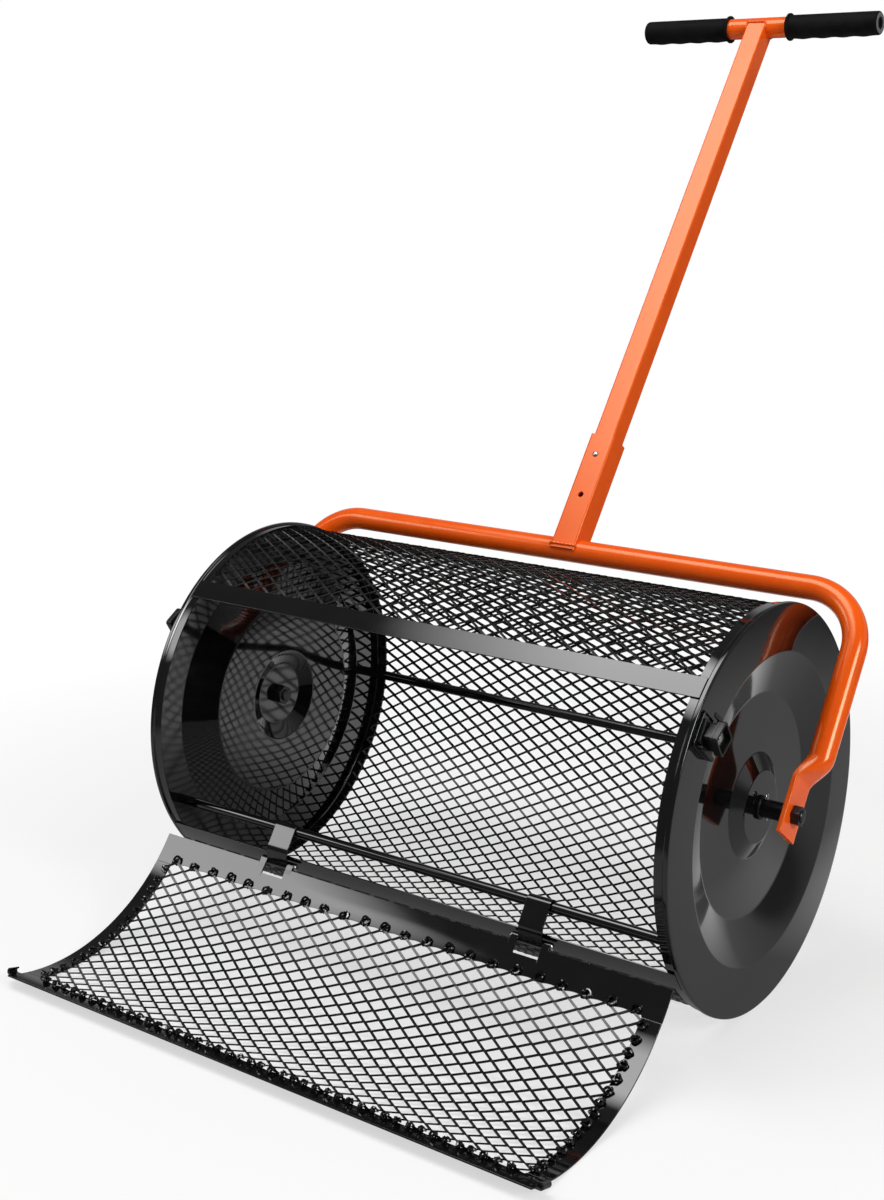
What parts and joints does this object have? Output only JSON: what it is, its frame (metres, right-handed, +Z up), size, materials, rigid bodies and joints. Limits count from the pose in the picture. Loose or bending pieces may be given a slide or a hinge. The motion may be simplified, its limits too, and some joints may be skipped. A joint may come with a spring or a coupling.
{
  "type": "lawn topdresser",
  "caption": "Push-along compost and peat spreader: mesh drum on steel end caps with a hinged mesh door, rolled by a T-handled tubular yoke.",
  "frame": {"origin": "bottom centre of the bounding box, on the ground under the drum's back half", "axes": "+X along the drum's axle to its right end, +Y to the back where the handle leans, +Z up"},
  "size_m": [0.7074, 0.9854, 0.9602],
  "materials": {
    "gloss_black": "gloss black enamel on pressed steel",
    "mesh_black": "black powder coat on expanded steel mesh",
    "orange_paint": "semi-gloss orange powder coat on steel tube",
    "black_fastener": "blackened steel",
    "zinc_plated": "bright zinc plate",
    "rubber_grip": "matte black rubber"
  },
  "bodies": {
    "drum": {"left_end_cap": "gloss_black", "right_end_cap": "gloss_black", "drum_mesh_1": "mesh_black", "drum_mesh_2": "mesh_black", "drum_mesh_3": "mesh_black", "drum_mesh_4": "mesh_black", "drum_mesh_5": "mesh_black", "drum_mesh_6": "mesh_black", "drum_mesh_7": "mesh_black", "upper_front_strap": "gloss_black", "lower_front_strap": "gloss_black", "front_rod": "gloss_black", "back_tie_rod": "gloss_black", "left_hinge_strap": "gloss_black", "right_hinge_strap": "gloss_black", "left_hinge_pin": "zinc_plated", "right_hinge_pin": "zinc_plated", "left_axle_stub": "black_fastener", "right_axle_stub": "black_fastener", "left_hub_nut": "black_fastener", "right_hub_nut": "black_fastener", "left_hub_collar": "black_fastener", "right_hub_collar": "black_fastener", "left_cotter_pin": "zinc_plated", "right_cotter_pin": "zinc_plated", "left_axle_nut": "black_fastener", "right_axle_nut": "black_fastener", "left_latch_bracket": "gloss_black", "right_latch_bracket": "gloss_black", "left_latch_retainer": "zinc_plated", "right_latch_retainer": "zinc_plated"},
    "handle": {"yoke_tube": "orange_paint", "pole_socket": "orange_paint", "pole": "orange_paint", "handlebar": "orange_paint", "left_grip": "rubber_grip", "right_grip": "rubber_grip"},
    "button": {"snap_button": "zinc_plated"},
    "door": {"door_hinge_strip": "gloss_black", "door_latch_strip": "gloss_black", "left_door_side_strip": "gloss_black", "right_door_side_strip": "gloss_black", "door_mesh_1": "mesh_black", "door_mesh_2": "mesh_black"},
    "left_latch": {"left_latch_knob": "black_fastener"},
    "right_latch": {"right_latch_knob": "black_fastener"}
  },
  "joints": [
    {"name": "handle_swing", "type": "hinge", "parent": "drum", "child": "handle", "pos_m": [0, -0.09511, 0.19366], "axis": [1, 0, 0], "continuous": true},
    {"name": "door_swing", "type": "hinge", "parent": "drum", "child": "door", "pos_m": [0, -0.26224, 0.08472], "axis": [-1, 0, 0], "range_deg": [0, 112.6]},
    {"name": "left_latch_turn", "type": "hinge", "parent": "drum", "child": "left_latch", "pos_m": [-0.316, -0.22706, 0.30243], "axis": [1, 0, 0], "range_deg": [0, 90]},
    {"name": "right_latch_turn", "type": "hinge", "parent": "drum", "child": "right_latch", "pos_m": [0.316, -0.22706, 0.30243], "axis": [1, 0, 0], "range_deg": [0, 90]},
    {"name": "button_press", "type": "slide", "parent": "handle", "child": "button", "axis": [0, 0.7955, -0.606], "range_m": [0, 0.003], "stiffness_N_per_m": 600, "springref_m": -0.003}
  ]
}
